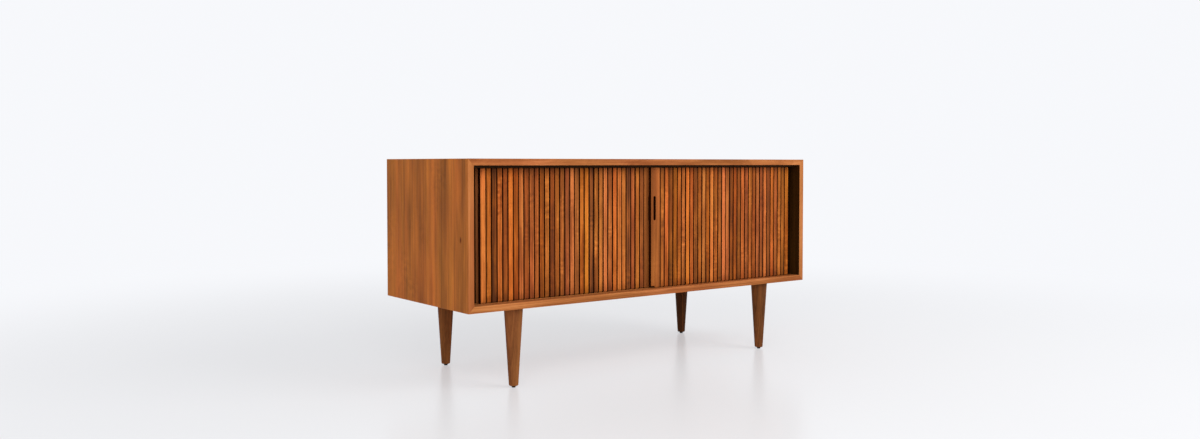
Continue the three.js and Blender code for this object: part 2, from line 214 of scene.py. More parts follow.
def noise(tree, point, lumps, detail=2.0, roughness=0.5):
    """Soft random variation in space, with its number of lumps per metre in X, Y and Z."""
    scaled = node(tree, "VectorMath", {0: point, 1: lumps}, operation="MULTIPLY").outputs[0]
    sockets = {"Vector": scaled, "Scale": 1.0, "Detail": detail, "Roughness": roughness}
    return node(tree, "TexNoise", sockets).outputs[0]


def noise_along(tree, distance, lumps, detail=2.0, roughness=0.5):
    """Soft random variation with a distance alone, with its number of lumps per metre."""
    scaled = maths(tree, "MULTIPLY", distance, lumps)
    sockets = {"W": scaled, "Scale": 1.0, "Detail": detail, "Roughness": roughness}
    return node(tree, "TexNoise", sockets, noise_dimensions="1D").outputs[0]


# Walnut: growth rings round a pith line along the grain, broad bands of colour, fibres, a slow glow,
# stretches of curl, a slow drift of hue, bright flecks, open pores and a knot that bends the rings.
# The point comes in with the grain along its Z. Noises are in lumps per metre, across and along it.
noise_middle = 0.5
neutral_tone = 0.5
neutral_hue = 0.5
wander_lumps = (7, 7, 1.6)
fibre_lumps = (620, 620, 4.5)
glow_lumps = (34, 34, 5)
drift_lumps = (22, 22, 2.5)
hue_drift = 0.024
fleck_lumps = (260, 260, 15)
pore_lumps = (1900, 1900, 62)
wear_and_highlight_lumps = (60, 60, 18)
curl_lumps = (40, 40, 62)
curly_lumps = (9, 9, 5)
curly_from = 0.52
curly_to = 0.70
bands_per_ring = 0.11
knot_shape = (1, 1, 0.55)
knot_core = 0.0020
knot_rim = 0.0065
knot_reach = 0.045
knot_push = 0.012
knot_darkness = 0.9
knot_gamma = 1.5
no_knot = (90, 90, 90)
fleck_from = 0.62
fleck_to = 0.80
pore_from = 0.60
pore_to = 0.72
pore_darkness = 0.42
wood_smoothest = 0.44
fibre_roughness = 0.16
pore_roughness = 0.2
fibre_height = 0.35
walnut, given, gives = effect(
    "walnut",
    [
        ("Point", "Vector"),
        ("Pith", "Vector"),
        ("Ring Count", "Float"),
        ("Waver", "Float"),
        ("Rings", "Float"),
        ("Bands", "Float"),
        ("Fibres", "Float"),
        ("Glow", "Float"),
        ("Curl", "Float"),
        ("Flecks", "Float"),
        ("Tone", "Float"),
        ("Arris", "Float"),
        ("Knot", "Vector"),
        ("Dark", "Color"),
        ("Middle", "Color"),
        ("Light", "Color"),
    ],
    [("Color", "Color"), ("Roughness", "Float"), ("Height", "Float")],
)
grain = given["Point"]
wander = maths(walnut, "SUBTRACT", noise(walnut, grain, wander_lumps, detail=3), noise_middle)
across = node(walnut, "VectorMath", {0: grain, 1: (1, 1, 0)}, operation="MULTIPLY").outputs[0]
from_pith = node(walnut, "VectorMath", {0: across, 1: given["Pith"]}, operation="ADD").outputs[0]
radius = node(walnut, "VectorMath", {0: from_pith}, operation="LENGTH").outputs["Value"]
radius = maths(walnut, "MULTIPLY_ADD", wander, given["Waver"], radius)
knot_offset = node(walnut, "VectorMath", {0: grain, 1: given["Knot"]}, operation="SUBTRACT")
sockets = {0: knot_offset.outputs[0], 1: knot_shape}
from_knot = node(walnut, "VectorMath", sockets, operation="MULTIPLY").outputs[0]
knot_distance = node(walnut, "VectorMath", {0: from_knot}, operation="LENGTH").outputs["Value"]
sockets = {"Value": knot_distance, "From Max": knot_reach, "To Min": knot_push, "To Max": 0.0}
knot_bend = node(walnut, "MapRange", sockets, interpolation_type="SMOOTHSTEP").outputs[0]
sockets = {
    "Value": knot_distance,
    "From Min": knot_core,
    "From Max": knot_rim,
    "To Min": 1.0,
    "To Max": 0.0,
}
knot_heart = node(walnut, "MapRange", sockets).outputs[0]
radius = maths(walnut, "ADD", radius, knot_bend)
band_count = maths(walnut, "MULTIPLY", given["Ring Count"], bands_per_ring)
fibres = noise(walnut, grain, fibre_lumps, detail=2, roughness=0.6)
figures = {
    "Rings": noise_along(walnut, radius, given["Ring Count"], detail=3, roughness=0.6),
    "Bands": noise_along(walnut, radius, band_count, detail=1),
    "Fibres": fibres,
    "Glow": noise(walnut, grain, glow_lumps, detail=2),
}
tone = maths(walnut, "ADD", given["Tone"], neutral_tone)
for strength, figure in figures.items():
    figure = maths(walnut, "SUBTRACT", figure, noise_middle)
    tone = maths(walnut, "MULTIPLY_ADD", figure, given[strength], tone)
curly_noise = noise(walnut, grain, curly_lumps, detail=1)
sockets = {"Value": curly_noise, "From Min": curly_from, "From Max": curly_to, "To Max": given["Curl"]}
curly = node(walnut, "MapRange", sockets).outputs[0]
curl = maths(walnut, "SUBTRACT", noise(walnut, grain, curl_lumps, detail=3), noise_middle)
tone = maths(walnut, "MULTIPLY_ADD", curl, curly, tone)
fleck_noise = noise(walnut, grain, fleck_lumps, detail=2)
sockets = {"Value": fleck_noise, "From Min": fleck_from, "From Max": fleck_to}
flecks = node(walnut, "MapRange", sockets).outputs[0]
tone = maths(walnut, "MULTIPLY_ADD", flecks, given["Flecks"], tone)
low_half = maths(walnut, "MULTIPLY", tone, 2.0, clamp=True)
high_half = maths(walnut, "MULTIPLY_ADD", tone, 2.0, -1.0, clamp=True)
colour = mix_colours(walnut, low_half, given["Dark"], given["Middle"])
colour = mix_colours(walnut, high_half, colour, given["Light"])
drift = noise(walnut, grain, drift_lumps, detail=3)
hue = maths(walnut, "MULTIPLY_ADD", drift, hue_drift, neutral_hue - hue_drift / 2)
colour = node(walnut, "HueSaturation", {"Hue": hue, "Color": colour}).outputs[0]
pore_noise = noise(walnut, grain, pore_lumps, detail=1)
sockets = {"Value": pore_noise, "From Min": pore_from, "From Max": pore_to}
pores = node(walnut, "MapRange", sockets).outputs[0]
in_pore = maths(walnut, "MULTIPLY", pores, pore_darkness)
colour = mix_colours(walnut, in_pore, colour, given["Dark"])
knot_brown = node(walnut, "Gamma", {"Color": given["Dark"], "Gamma": knot_gamma}).outputs[0]
in_knot = maths(walnut, "MULTIPLY", knot_heart, knot_darkness)
colour = mix_colours(walnut, in_knot, colour, knot_brown)
# Arrises turn lighter in patches: partly wear, partly a painted highlight along the edges.
rubbed_and_highlit = maths(walnut, "MULTIPLY", given["Arris"], noise(walnut, grain, wear_and_highlight_lumps, detail=2))
colour = mix_colours(walnut, rubbed_and_highlit, colour, given["Light"])
walnut.links.new(colour, gives["Color"])
rough_fibres = maths(walnut, "MULTIPLY_ADD", fibres, fibre_roughness, wood_smoothest)
roughness = maths(walnut, "MULTIPLY_ADD", pores, pore_roughness, rough_fibres)
walnut.links.new(roughness, gives["Roughness"])
raised = maths(walnut, "MULTIPLY", fibres, fibre_height)
walnut.links.new(maths(walnut, "SUBTRACT", raised, pores), gives["Height"])

oil_reflection = 0.04
grain_depth = 0.0004


def walnut_finish(
    name,
    colours,
    turn=0.0,
    pith=(0.11, 0.35, 0),
    ring_count=150,
    waver=0.020,
    rings=0.9,
    bands=0.9,
    fibres=0.7,
    glow=0.9,
    curl=0.3,
    flecks=0.0,
    tone=0.0,
    cut=(0, 0, 0),
    relief=0.25,
    reflection=oil_reflection,
    knot=no_knot,
    squeeze=(1, 1, 1),
):
    """A walnut finish. Its grain stands upright until it is turned about Y, and cut is where in the
    log it was sawn."""
    finish, tree = empty_finish(name)
    point = node(tree, "TexCoord").outputs["Object"]
    sockets = {"Vector": point, "Location": cut, "Rotation": (0, turn, 0), "Scale": squeeze}
    point = node(tree, "Mapping", sockets).outputs[0]
    arris = node(tree, "Attribute", attribute_name="arris").outputs["Fac"]
    dark, middle, light = [screen_colour(*colour) for colour in colours]
    wood = tree.nodes.new("ShaderNodeGroup")
    wood.node_tree = walnut
    sockets = {
        "Pith": pith,
        "Ring Count": ring_count,
        "Waver": waver,
        "Rings": rings,
        "Bands": bands,
        "Fibres": fibres,
        "Glow": glow,
        "Curl": curl,
        "Flecks": flecks,
        "Tone": tone,
        "Knot": knot,
        "Dark": dark,
        "Middle": middle,
        "Light": light,
    }
    for socket, value in sockets.items():
        wood.inputs[socket].default_value = value
    tree.links.new(point, wood.inputs["Point"])
    tree.links.new(arris, wood.inputs["Arris"])
    sockets = {"Strength": relief, "Distance": grain_depth, "Height": wood.outputs["Height"]}
    bump = node(tree, "Bump", sockets)
    sockets = {
        "Base Color": wood.outputs["Color"],
        "Roughness": wood.outputs["Roughness"],
        "Specular IOR Level": reflection,
        "Normal": bump.outputs[0],
    }
    shader = node(tree, "BsdfPrincipled", sockets)
    node(tree, "OutputMaterial", {"Surface": shader.outputs[0]})
    return finish


def piece(name, bm, materials, body, slot, *nodes):
    """Makes a mesh into a piece that rides on a body, with its materials, and replaces CAD nodes. The
    slot is not used.
    """
    mesh = bpy.data.meshes.new(name)
    bm.to_mesh(mesh)
    bm.free()
    for material in materials:
        mesh.materials.append(material)
    made = bpy.data.objects.new(name, mesh)
    scene.collection.objects.link(made)
    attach(made, body)
    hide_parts(*nodes)
    return made


def copied(node_name):
    """A copy of a CAD node with its corners merged and its flat faces made whole."""
    bm = bmesh.new()
    bm.from_mesh(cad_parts[node_name].data)
    bmesh.ops.remove_doubles(bm, verts=bm.verts, dist=same_point)
    bmesh.ops.dissolve_limit(
        bm, angle_limit=flat_angle, use_dissolve_boundaries=False, verts=bm.verts, edges=bm.edges
    )
    bm.normal_update()
    return bm


def ease(bm, width, kept_sharp=None):
    """Rounds the outer arrises, and marks the new faces, which the finish makes lighter: partly rubbed
    thin, partly a painted highlight.
    """
    arris = bm.faces.layers.float.new("arris")
    edges = [
        edge
        for edge in bm.edges
        if len(edge.link_faces) == 2
        and edge.is_convex
        and edge.calc_face_angle() > sharp_angle
        and not (kept_sharp and kept_sharp(edge))
    ]
    made = bmesh.ops.bevel(
        bm,
        geom=edges,
        offset=width,
        offset_type="OFFSET",
        segments=arris_segments,
        profile=0.5,
        affect="EDGES",
        material=-1,
    )
    for face in made["faces"]:
        face[arris] = 1.0


outer_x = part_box("case_top")[1].x
top_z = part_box("case_top")[1].z
under_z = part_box("case_bottom")[0].z
board_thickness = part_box("case_bottom")[1].z - under_z
low_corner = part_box("case_side_left")[0]
high_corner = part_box("case_side_right")[1]


def on_mitre(edge):
    """True for an edge that lies in the plane where two boards of the case meet."""
    for vert in edge.verts:
        across_in = outer_x - abs(vert.co.x)
        upright_in = min(vert.co.z - under_z, top_z - vert.co.z)
        if abs(across_in - upright_in) > same_point or across_in > board_thickness + same_point:
            return False
    return True


def ease_outer_corners(bm):
    """Cuts the assembled corners of the case at 45 degrees, through both boards alike."""
    arris = bm.faces.layers.float["arris"]
    for side in (-1, 1):
        for up, corner_z in ((-1, under_z), (1, top_z)):
            out = Vector((side, 0, up)).normalized()
            corner = Vector((side * outer_x, 0, corner_z))
            everything = bm.verts[:] + bm.edges[:] + bm.faces[:]
            done = bmesh.ops.bisect_plane(
                bm,
                geom=everything,
                dist=cut_tolerance,
                plane_co=corner - out * corner_easing,
                plane_no=out,
                clear_outer=True,
            )
            rim = [cut for cut in done["geom_cut"] if isinstance(cut, bmesh.types.BMEdge)]
            if rim:
                filled = bmesh.ops.edgenet_fill(bm, edges=rim, mat_nr=0)
                for face in filled["faces"]:
                    face[arris] = 1.0
    bmesh.ops.recalc_face_normals(bm, faces=bm.faces)


log_depth = 0.05
log_across = 0.62
knot_on_left = Vector((0, -0.212, 0.437))
lipping = 0.030
grain_level = -math.pi / 2
band_rings = 350
band_top = walnut_finish(
    "band_top",
    band_colours,
    grain_level,
    ring_count=band_rings,
    waver=0.05,
    bands=1.2,
    fibres=1.1,
    glow=1.2,
    tone=-0.34,
    cut=(0.5, 0.9, 0.1),
)
band_bottom = walnut_finish(
    "band_bottom",
    band_colours,
    grain_level,
    ring_count=band_rings,
    waver=0.05,
    bands=1.3,
    fibres=1.1,
    tone=-0.18,
    cut=(0.5, 0.1, 0.3),
)
band_left, band_right = [
    walnut_finish(
        name, band_colours, ring_count=band_rings, fibres=1.1, tone=tone, cut=(0.4, 0.2, 0.7)
    )
    for name, tone in (("band_left", -0.20), ("band_right", 0.02))
]
inside_level = walnut_finish("inside_level", inside_colours, grain_level, cut=(0.9, 0.3, 0.2))
inside_upright = walnut_finish("inside_upright", inside_colours, cut=(0.2, 0.3, 0.9))
# Near-black brown that paints the shade in the recess behind the doors and in the pockets.
painted_recess_shade = walnut_finish("painted_recess_shade", recess_shade_colours, cut=(0.3, 0.5, 0.1))
quarter_round = (high_corner - low_corner).x / 2 + (high_corner - low_corner).z / 2

boards = [
    ("case_side_left", "left_side_board", Vector((-1, 0, 0)), band_left, painted_recess_shade),
    ("case_top", "top_board", Vector((0, 0, 1)), band_top, inside_level),
    ("case_side_right", "right_side_board", Vector((1, 0, 0)), band_right, painted_recess_shade),
    ("case_bottom", "bottom_board", Vector((0, 0, -1)), band_bottom, inside_level),
]
for quarter, (node_name, name, outward, band, inside) in enumerate(boards):
    low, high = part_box(node_name)
    middle = (low + high) / 2
    outer_middle = middle + outward * abs((high - low).dot(outward)) / 2
    turn = -quarter * math.pi / 2
    in_log = Vector((log_depth, log_across, quarter * quarter_round))
    cut = in_log - Matrix.Rotation(turn, 3, "Y") @ outer_middle
    knot = no_knot
    if quarter == 0:
        knot = cut + Vector((outer_middle.x, knot_on_left.y, knot_on_left.z))
    veneer = walnut_finish(
        f"veneer_{name}",
        veneer_colours,
        turn,
        rings=0.8,
        bands=0.85,
        fibres=1.0,
        glow=1.3,
        curl=1.0,
        tone=0.03,
        cut=cut,
        knot=knot,
    )
    bm = copied(node_name)
    bmesh.ops.bisect_plane(
        bm,
        geom=bm.verts[:] + bm.edges[:] + bm.faces[:],
        dist=same_point,
        plane_co=(0, low.y + lipping, 0),
        plane_no=(0, 1, 0),
    )
    # The lipping of the bottom board shows on its inner face too, in front of the doors
    for face in bm.faces:
        faces_inward = face.normal.dot(outward) < -facing
        on_lipping = face.calc_center_median().y < low.y + lipping
        if face.normal.y < -facing or (faces_inward and on_lipping and band == band_bottom):
            face.material_index = 1
        elif faces_inward:
            face.material_index = 2
    ease(bm, board_arris, on_mitre)
    ease_outer_corners(bm)
    piece(name, bm, [veneer, band, inside], "case", "case_walnut", node_name)

# A loose spline of birch plywood lies across each mitre, glued into a slot in both boards. It stops
# short of the front and the back, so that nothing of it shows on the assembled case.
ply_pale = screen_colour(196, 164, 118)
ply_dark = screen_colour(150, 112, 72)
ply_lumps = (1500, 12, 1500)
ply_roughness = 0.75
surface_depth = 0.0003


def plain_finish(name, look, metallic=0.0, relief=0.0, reflection=0.5):
    """A finish from a function that gives its colour, its roughness and its height in a tree."""
    finish, tree = empty_finish(name)
    colour, roughness, height = look(tree, node(tree, "TexCoord").outputs["Object"])
    bump = node(tree, "Bump", {"Strength": relief, "Distance": surface_depth, "Height": height})
    sockets = {
        "Base Color": colour,
        "Roughness": roughness,
        "Metallic": metallic,
        "Specular IOR Level": reflection,
        "Normal": bump.outputs[0],
    }
    shader = node(tree, "BsdfPrincipled", sockets)
    node(tree, "OutputMaterial", {"Surface": shader.outputs[0]})
    return finish


def refinish(node_name, finish):
    """Gives a finish to a CAD node that keeps its own shape."""
    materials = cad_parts[node_name].data.materials
    materials.clear()
    materials.append(finish)


def plywood_look(tree, point):
    """Pale and dark plies, seen on their edges."""
    plies = noise(tree, point, ply_lumps, detail=1)
    return mix_colours(tree, plies, ply_dark, ply_pale), ply_roughness, plies


plywood = plain_finish("birch_plywood", plywood_look, relief=0.1)
for corner in ("top_left", "top_right", "bottom_left", "bottom_right"):
    refinish(f"mitre_spline_{corner}", plywood)

# The back is one sheet of walnut-faced plywood. It lies in a rebate round the case, flush with the
# boards, and eight countersunk steel screws with a cross recess hold it.
back_arris = 0.0004
back_veneer = walnut_finish(
    "back_veneer",
    inside_colours,
    grain_level,
    pith=(0.55, 0.05, 0),
    waver=0.05,
    cut=(0.1, 0.7, 0.5),
)
bm = copied("back_panel")
ease(bm, back_arris)
piece("back_sheet", bm, [back_veneer], "case", "inner_walnut", "back_panel")

zinc_pale = screen_colour(196, 196, 190)
zinc_dark = screen_colour(140, 140, 138)
spangle_lumps = (700, 700, 700)
zinc_smoothest = 0.25
spangle_roughness = 0.25
shank_radius = 0.0018
head_depth = 0.0025
point_length = 0.003
tip_radius = 0.0005
recess_reach = 0.0021
recess_half_width = 0.0005
recess_depth = 0.0012
recess_taper = 0.6
driver_turns = random.Random(5)


def zinc_look(tree, point):
    """The fine spangle of plated steel."""
    spangle = noise(tree, point, spangle_lumps, detail=3)
    roughness = maths(tree, "MULTIPLY_ADD", spangle, spangle_roughness, zinc_smoothest)
    return mix_colours(tree, spangle, zinc_dark, zinc_pale), roughness, spangle


def screw(head_radius, length):
    """A countersunk screw under a cross recess, with its head at height 0 and its point below."""
    # The inner lines of a grid of nine faces are drawn together, and the cross between them sinks
    bm = bmesh.new()
    bmesh.ops.create_grid(bm, x_segments=3, y_segments=3, size=recess_reach)
    for vert in bm.verts:
        for axis in (0, 1):
            if abs(vert.co[axis]) < recess_reach / 2:
                vert.co[axis] = math.copysign(recess_half_width, vert.co[axis])
    bmesh.ops.bisect_edges(bm, edges=[edge for edge in bm.edges if edge.is_boundary], cuts=1)
    edges = [edge for edge in bm.edges if edge.is_boundary]
    cross = [face for face in bm.faces if min(map(abs, face.calc_center_median().xy)) < same_point]
    sunk = bmesh.ops.extrude_face_region(bm, geom=cross)["geom"]
    bmesh.ops.delete(bm, geom=cross, context="FACES")
    sunk = [vert for vert in sunk if isinstance(vert, bmesh.types.BMVert)]
    bmesh.ops.scale(bm, vec=(recess_taper, recess_taper, 1), verts=sunk)
    bmesh.ops.translate(bm, vec=(0, 0, -recess_depth), verts=sunk)
    # The rim of the grid grows outward to the head and then down the shank to the point
    for radius, depth in (
        (head_radius, 0),
        (shank_radius, head_depth),
        (shank_radius, length - point_length),
        (tip_radius, length),
    ):
        grown = bmesh.ops.extrude_edge_only(bm, edges=edges)["geom"]
        edges = [part for part in grown if isinstance(part, bmesh.types.BMEdge)]
        for vert in {vert for edge in edges for vert in edge.verts}:
            outward = vert.co.xy.normalized()
            vert.co = (outward.x * radius, outward.y * radius, -depth)
    bmesh.ops.edgenet_fill(bm, edges=edges)
    bmesh.ops.recalc_face_normals(bm, faces=bm.faces)
    return bm


zinc = plain_finish("zinc_plate", zinc_look, metallic=1.0, relief=0.1)
for node_name in [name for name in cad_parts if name.startswith("back_screw_")]:
    low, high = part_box(node_name)
    bm = screw((high.x - low.x) / 2, high.y - low.y)
    turned = Matrix.Rotation(driver_turns.uniform(0, math.pi / 2), 4, "Z")
    outward = Matrix.Rotation(-math.pi / 2, 4, "X")
    seat = Matrix.Translation(((low.x + high.x) / 2, high.y, (low.z + high.z) / 2))
    bmesh.ops.transform(bm, matrix=seat @ outward @ turned, verts=bm.verts)
    name = node_name.replace("back_screw", "zinc_screw")
    piece(name, bm, [zinc], "case", "steel", node_name)

# Inside stand two false sides and a divider, all of walnut-faced board. The false sides close the
# pockets that the tambours turn into, and carry painted shade on that side. All three are lipped in
# front.
inner_arris = 0.0005
inner_boards = [
    ("pocket_panel_left", "left_false_side", -1),
    ("centre_divider", "divider_board", 0),
    ("pocket_panel_right", "right_false_side", 1),
]
for node_name, name, pocket_side in inner_boards:
    bm = copied(node_name)
    for face in bm.faces:
        if face.normal.y < -facing:
            face.material_index = 1
        elif face.normal.x * pocket_side > facing:
            face.material_index = 2
    ease(bm, inner_arris)
    finishes = [inside_upright, band_left, painted_recess_shade]
    piece(name, bm, finishes, "case", "inner_walnut", node_name)

# A shelf lies in each bay, loose on its pins, so that it lifts out. It is walnut-faced board too,
# and its front edge is lipped like the case.
shelf_arris = 0.0008
for side in ("left", "right"):
    bm = copied(f"shelf_{side}")
    for face in bm.faces:
        if face.normal.y < -facing:
            face.material_index = 1
    ease(bm, shelf_arris)
    finishes = [inside_level, band_top]
    piece(f"{side}_shelf_board", bm, finishes, "case", "inner_walnut", f"shelf_{side}")

# Eight brass pins carry the shelves, four under each. They are turned with rounded ends, and push
# into holes in the false sides and the divider.
pin_facets = 32
pin_rounding = 0.0008
pin_corner = pin_rounding / 3
brass_bright = screen_colour(214, 178, 96)
brass_dull = screen_colour(168, 130, 62)
tarnish_lumps = (260, 260, 260)
brass_smoothest = 0.15
tarnish_roughness = 0.3


def brass_look(tree, point):
    """Brass that has dulled here and there."""
    tarnish = noise(tree, point, tarnish_lumps, detail=3)
    roughness = maths(tree, "MULTIPLY_ADD", tarnish, tarnish_roughness, brass_smoothest)
    return mix_colours(tree, tarnish, brass_dull, brass_bright), roughness, tarnish


def spun(profile, centre, axis, facets):
    """Turns a profile of (radius, height along the axis) points once round an axis at a centre."""
    bm = bmesh.new()
    upright = Vector((0, 0, 1)).rotation_difference(Vector(axis)).to_matrix()
    verts = [bm.verts.new(centre + upright @ Vector((radius, 0, up))) for radius, up in profile]
    edges = [bm.edges.new(pair) for pair in zip(verts, verts[1:])]
    bmesh.ops.spin(
        bm,
        geom=verts + edges,
        cent=centre,
        axis=axis,
        angle=2 * math.pi,
        steps=facets,
        use_merge=True,
    )
    bmesh.ops.remove_doubles(bm, verts=bm.verts, dist=same_point)
    bmesh.ops.recalc_face_normals(bm, faces=bm.faces)
    for face in bm.faces:
        face.smooth = True
    for edge in bm.edges:
        edge.smooth = edge.calc_face_angle(0) < sharp_angle
    return bm


brass = plain_finish("plain_brass", brass_look, metallic=1.0, relief=0.05)
for node_name in [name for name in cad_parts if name.startswith("shelf_pin_")]:
    low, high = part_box(node_name)
    reach = (high.x - low.x) / 2
    pin_radius = (high.z - low.z) / 2
    one_end = [
        (0, reach),
        (pin_radius - pin_rounding, reach),
        (pin_radius - pin_corner, reach - pin_corner),
        (pin_radius, reach - pin_rounding),
    ]
    profile = [(radius, -up) for radius, up in one_end] + one_end[::-1]
    bm = spun(profile, (low + high) / 2, (1, 0, 0), pin_facets)
    name = node_name.replace("shelf_pin", "brass_pin")
    piece(name, bm, [brass], "case", "brass", node_name)

# The track under the top is hardwood stained black and waxed, and its black is also painted shade
# under the top's front edge. It is in five lengths, let into the top board, with two grooves that
# carry the tongues of the two doors round the corners.
track_arris = 0.0004
# Near-black: the track's stain and the painted shade under the top's front edge.
track_shade_colours = [(26, 14, 6), (42, 25, 11), (62, 38, 18)]
track_shade_wood = walnut_finish("black_track_painted_shade", track_shade_colours, grain_level, relief=0.15)
track_lengths = {
    "top_track_front": "front_track",
    "top_track_corner_left": "left_corner_track",
    "top_track_corner_right": "right_corner_track",
    "top_track_side_left": "left_side_track",
    "top_track_side_right": "right_side_track",
}
for node_name, name in track_lengths.items():
    bm = copied(node_name)
    ease(bm, track_arris)
    piece(name, bm, [track_shade_wood], "case", "track_black", node_name)

# A door is 33 walnut slats sawn from many boards, so that they run from dark brown to orange, with
# tongues at both ends that ride in the grooves. Their faces are oiled. Their edges carry painted shade
# for the gaps between them, and they are darker towards their ends with painted shade under the top
# and bottom boards. The last slat, at the tail, is a little wider.
door_sides = {"left": -1, "right": 1}
door_seeds = {"left": 2758, "right": 2509}
lead_x = {"left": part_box("left_lead_strip")[1].x, "right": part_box("right_lead_strip")[0].x}
lead_width = 0.036
strip_low, strip_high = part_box("left_lead_strip")
strip_lift = 0.004
slat_low = strip_low.z - strip_lift
slat_high = strip_high.z
tongue_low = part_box("left_tambour")[0].z
tongue_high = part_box("left_tambour")[1].z
slat_width = 0.015
slat_gap = 0.00322
slat_thickness = 0.012
tail_slat_width = 0.0174
plain_slats = 32
tongue_margin = 0.0015
tongue_thickness = 0.0064
slat_arris = 0.0008
sawing_play = 0.0007
slat_shaded_from = 0.98
slat_colours = [(84, 46, 25), (146, 77, 31), (210, 120, 54)]
painted_gap_shade_colours = [(28, 8, 2), (44, 15, 4), (64, 25, 8)]
tone_spread = 0.28
tone_middle = 0.06
least_tone_step = 0.08
hue_spread = 0.005
hue_middle = 0.499
richness_spread = 0.022
logs = 40
log_step = {"X": 0.37, "Y": 0.11, "Z": 1.70}
# The slats darken towards both ends: painted shade under the top and bottom boards.
end_shade_length = 0.028
end_shade_tone = 0.14

slat_finish = walnut_finish(
    "slat_walnut",
    slat_colours,
    pith=(0.06, 0.10, 0),
    waver=0.02,
    ring_count=170,
    rings=0.7,
    bands=0.5,
    fibres=0.9,
    glow=1.0,
    curl=1.0,
    flecks=0.35,
    squeeze=(1, 1, 1.6),
)
slat_tree = slat_finish.node_tree
slat_wood = next(made for made in slat_tree.nodes if made.type == "GROUP")
slat_shader = next(made for made in slat_tree.nodes if made.type == "BSDF_PRINCIPLED")
slat_tone, slat_log, slat_hue, slat_richness = [
    node(slat_tree, "Attribute", attribute_name=look).outputs["Fac"]
    for look in ("slat_tone", "slat_log", "slat_hue", "slat_richness")
]
shifts = {axis: maths(slat_tree, "MULTIPLY", slat_log, step) for axis, step in log_step.items()}
shift = node(slat_tree, "CombineXYZ", shifts).outputs[0]
sawn = slat_wood.inputs["Point"].links[0].from_socket
moved = node(slat_tree, "VectorMath", {0: sawn, 1: shift}, operation="ADD").outputs[0]
slat_tree.links.new(moved, slat_wood.inputs["Point"])
in_row = node(slat_tree, "TexCoord").outputs["Object"]
height = node(slat_tree, "SeparateXYZ", {0: in_row}).outputs["Z"]
# Tone falls towards the top and bottom ends of each slat, as painted shade.
above = maths(slat_tree, "SUBTRACT", height, strip_low.z)
below = maths(slat_tree, "SUBTRACT", strip_high.z, height)
sockets = {
    "Value": maths(slat_tree, "MINIMUM", above, below),
    "From Min": 0.0,
    "From Max": end_shade_length,
    "To Min": -end_shade_tone,
    "To Max": 0.0,
}
painted_end_shade = node(slat_tree, "MapRange", sockets, interpolation_type="SMOOTHSTEP").outputs[0]
slat_tree.links.new(maths(slat_tree, "ADD", slat_tone, painted_end_shade), slat_wood.inputs["Tone"])
sockets = {"Hue": slat_hue, "Saturation": slat_richness, "Color": slat_wood.outputs["Color"]}
hued = node(slat_tree, "HueSaturation", sockets).outputs[0]
slat_tree.links.new(hued, slat_shader.inputs["Base Color"])
# Near-black brown on the edges of slats and stiles and in the pull slot: painted shade in the gaps and
# the slot.
painted_gap_shade = walnut_finish("painted_gap_shade", painted_gap_shade_colours, cut=(0.1, 0.1, 0.8))


def slat(near_x, far_x, face_y, looks):
    """One slat between two places along X, with a tongue at each end and its front arrises eased.
    Its looks are face values: its tone, hue and richness, and the log that it was sawn from."""
    bm = bmesh.new()
    low_x, high_x = sorted((near_x, far_x))
    size = Vector((high_x - low_x, slat_thickness, slat_high - slat_low))
    middle = Vector((low_x, face_y, slat_low)) + size / 2
    bmesh.ops.create_cube(bm, size=1, matrix=Matrix.LocRotScale(middle, None, size))
    for end in [face for face in bm.faces if abs(face.normal.z) > facing]:
        bmesh.ops.inset_individual(bm, faces=[end], thickness=tongue_margin)
        thinner = (1, tongue_thickness / (slat_thickness - 2 * tongue_margin), 1)
        bmesh.ops.scale(bm, vec=thinner, space=Matrix.Translation(-middle), verts=end.verts)
        tip_z = tongue_high if end.normal.z > 0 else tongue_low
        grown = bmesh.ops.extrude_discrete_faces(bm, faces=[end])["faces"][0]
        for vert in grown.verts:
            vert.co.z = tip_z
    arris = bm.faces.layers.float.new("arris")
    front = min(bm.faces, key=lambda face: face.calc_center_median().y)
    rounded = bmesh.ops.bevel(
        bm,
        geom=front.edges[:],
        offset=slat_arris,
        offset_type="OFFSET",
        segments=arris_segments,
        profile=0.5,
        affect="EDGES",
        material=-1,
    )
    for face in rounded["faces"]:
        face[arris] = 1.0
    for face in bm.faces:
        # Faces that do not face the front take the painted gap shade.
        face.material_index = int(abs(face.normal.y) < slat_shaded_from)
    for look, value in looks.items():
        layer = bm.faces.layers.float.new(look)
        for face in bm.faces:
            face[layer] = value
    return bm


def door_slats(side, from_x, face_y, seed):
    """All the slats of one door as one mesh, from its leading stile to its tail. They were sawn and
    laid by hand, so the gaps differ a little."""
    chance = random.Random(seed)
    by_hand = random.Random(seed + 1)
    bm = bmesh.new()
    scrap = bpy.data.meshes.new("one_slat")
    tone = 0.0
    for number in range(plain_slats + 1):
        last_tone = tone
        while abs(tone - last_tone) < least_tone_step:
            tone = tone_middle + chance.uniform(-1, 1) * tone_spread
        looks = {
            "slat_tone": tone,
            "slat_hue": hue_middle + chance.uniform(-1, 1) * hue_spread,
            "slat_log": chance.random() * logs,
            "slat_richness": 1 + by_hand.uniform(-1, 1) * richness_spread,
        }
        near = lead_width + slat_gap + number * (slat_width + slat_gap)
        far = near + (slat_width if number < plain_slats else tail_slat_width)
        near += by_hand.uniform(-1, 1) * sawing_play
        if number < plain_slats:
            far += by_hand.uniform(-1, 1) * sawing_play
        one = slat(from_x + side * near, from_x + side * far, face_y, looks)
        one.to_mesh(scrap)
        one.free()
        bm.from_mesh(scrap)
    bpy.data.meshes.remove(scrap)
    return bm


for door, side in door_sides.items():
    face_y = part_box(f"{door}_tambour")[0].y
    bm = door_slats(side, lead_x[door], face_y, door_seeds[door])
    finishes = [slat_finish, painted_gap_shade]
    piece(f"{door}_slats", bm, finishes, f"{door}_door", "slat_walnut", f"{door}_tambour")

